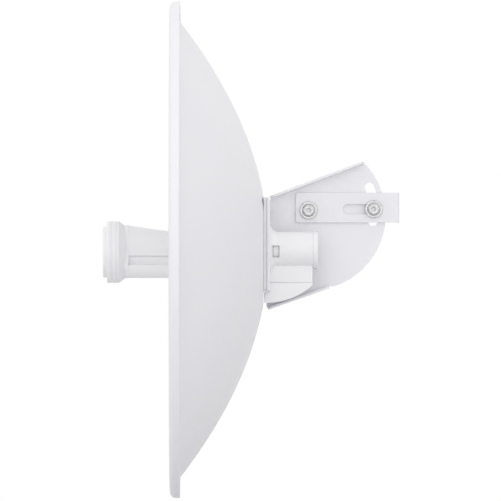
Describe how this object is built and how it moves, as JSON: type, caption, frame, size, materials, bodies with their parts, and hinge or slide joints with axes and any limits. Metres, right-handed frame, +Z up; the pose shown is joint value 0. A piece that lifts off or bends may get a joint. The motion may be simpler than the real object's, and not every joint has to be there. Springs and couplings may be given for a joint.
{
  "type": "outdoor wireless bridge",
  "caption": "Parabolic dish antenna with a plug-in feed radio and rear cable housing, on a tilting side bracket that clamps to a pole.",
  "frame": {"origin": "on the axis of the clamped pole, at mid height of the pole bracket", "axes": "+Z up along the pole, -Y the way the dish faces, +X towards the bolt heads"},
  "size_m": [0.52, 0.3105, 0.52],
  "materials": {
    "powder_coat": "fine-textured white powder coat on steel sheet",
    "white_plastic": "satin moulded white plastic",
    "zinc_steel": "dull zinc-plated fasteners",
    "rubber": "pale grey silicone seals",
    "laminate": "green solder mask on glass laminate",
    "brass": "bare brass",
    "aluminium": "plain aluminium",
    "tin_plate": "tin-plated steel",
    "button_plastic": "dark grey button"
  },
  "bodies": {
    "pole_mount": {"pole_bracket": "powder_coat", "pivot_bolt": "zinc_steel", "elevation_bolt": "zinc_steel", "pivot_washer": "zinc_steel", "elevation_washer": "zinc_steel", "pivot_lock_nut": "zinc_steel", "elevation_lock_nut": "zinc_steel"},
    "clamp": {"clamp_jaw": "powder_coat", "clamp_washer_front": "zinc_steel", "clamp_washer_rear": "zinc_steel", "clamp_nut_front": "zinc_steel", "clamp_nut_rear": "zinc_steel"},
    "antenna": {"dish": "powder_coat", "dish_gasket": "rubber", "dish_bracket": "powder_coat", "rear_housing": "white_plastic", "housing_end_cap": "white_plastic", "dish_bolt_1": "zinc_steel", "dish_bolt_2": "zinc_steel", "dish_bolt_3": "zinc_steel", "dish_bolt_4": "zinc_steel", "dish_nut_1": "zinc_steel", "dish_nut_2": "zinc_steel", "dish_nut_3": "zinc_steel", "dish_nut_4": "zinc_steel", "housing_screw_1": "zinc_steel", "housing_screw_2": "zinc_steel", "housing_screw_3": "zinc_steel"},
    "cover": {"cable_cover": "white_plastic"},
    "feed": {"feed_cap": "white_plastic", "cap_seal": "rubber", "sub_reflector": "aluminium", "radiator_board": "laminate", "dipole_1": "brass", "dipole_2": "brass", "waveguide_tube": "aluminium", "feed_shell_upper": "white_plastic", "feed_shell_lower": "white_plastic", "shoulder_seal": "rubber", "feed_tail": "white_plastic", "main_board": "laminate", "heat_spreader": "aluminium", "rf_shield": "tin_plate", "board_screw_1": "zinc_steel", "board_screw_2": "zinc_steel", "ethernet_jack": "tin_plate"},
    "release_near": {"release_tab_near": "white_plastic"},
    "release_far": {"release_tab_far": "white_plastic"},
    "reset": {"reset_button": "button_plastic"}
  },
  "joints": [
    {"name": "elevation_tilt", "type": "hinge", "parent": "pole_mount", "child": "antenna", "pos_m": [0.03225, -0.0375, -0.0028], "axis": [-1, 0, 0], "range_deg": [-10, 19]},
    {"name": "clamp_travel", "type": "slide", "parent": "pole_mount", "child": "clamp", "axis": [1, 0, 0], "range_m": [-0.0183, 0.0122]},
    {"name": "feed_slide", "type": "slide", "parent": "antenna", "child": "feed", "axis": [0, -1, 0], "range_m": [0, 0.045]},
    {"name": "cover_slide", "type": "slide", "parent": "antenna", "child": "cover", "axis": [0, 0, -1], "range_m": [0, 0.025]},
    {"name": "release_press_near", "type": "slide", "parent": "feed", "child": "release_near", "axis": [-1, 0, 0], "range_m": [0, 0.0015], "stiffness_N_per_m": 400, "springref_m": -0.001},
    {"name": "release_press_far", "type": "slide", "parent": "feed", "child": "release_far", "axis": [1, 0, 0], "range_m": [0, 0.0015], "stiffness_N_per_m": 400, "springref_m": -0.001},
    {"name": "reset_press", "type": "slide", "parent": "feed", "child": "reset", "axis": [0, 0, 1], "range_m": [0, 0.0008], "stiffness_N_per_m": 400, "springref_m": -0.0005}
  ]
}
